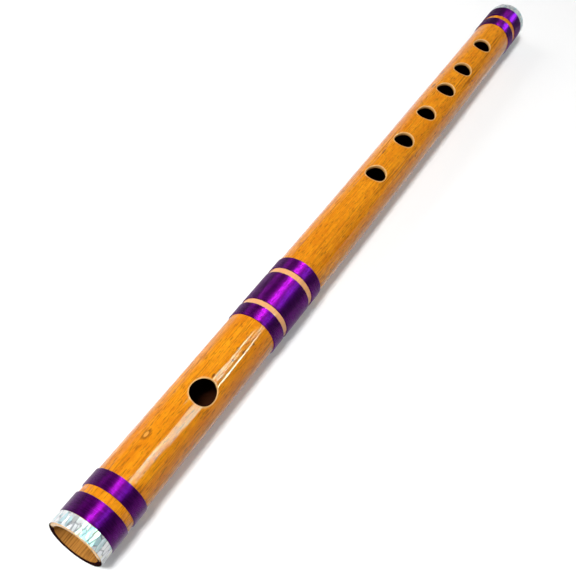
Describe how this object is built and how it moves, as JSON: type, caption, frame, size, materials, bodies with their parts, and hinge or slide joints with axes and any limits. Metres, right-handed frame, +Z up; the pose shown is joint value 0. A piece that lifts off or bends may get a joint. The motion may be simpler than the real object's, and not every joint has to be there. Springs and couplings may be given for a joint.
{
  "type": "bamboo flute",
  "caption": "Side-blown bamboo flute with an oval blow hole, a row of round finger holes, wound thread bindings, foil collars at both ends and a cork stopper inside.",
  "frame": {"origin": "under the middle of the flute, on the surface that its bindings rest on", "axes": "+X along the flute from the blow end to the foot, +Z up through the row of finger holes"},
  "size_m": [0.45, 0.0264, 0.0252],
  "materials": {
    "bamboo": "lacquered, glossy",
    "cork": "raw cork",
    "foil": "crinkled holographic foil",
    "thread": "satin thread"
  },
  "bodies": {
    "root": {"bamboo_tube": "bamboo", "cork_stopper": "cork", "foil_collar_blow_end": "foil", "foil_collar_foot": "foil", "binding_blow_end_outer": "thread", "binding_blow_end_inner": "thread", "binding_middle_near": "thread", "binding_middle_wide": "thread", "binding_middle_far": "thread", "binding_foot_inner": "thread", "binding_foot_outer": "thread"}
  },
  "joints": []
}
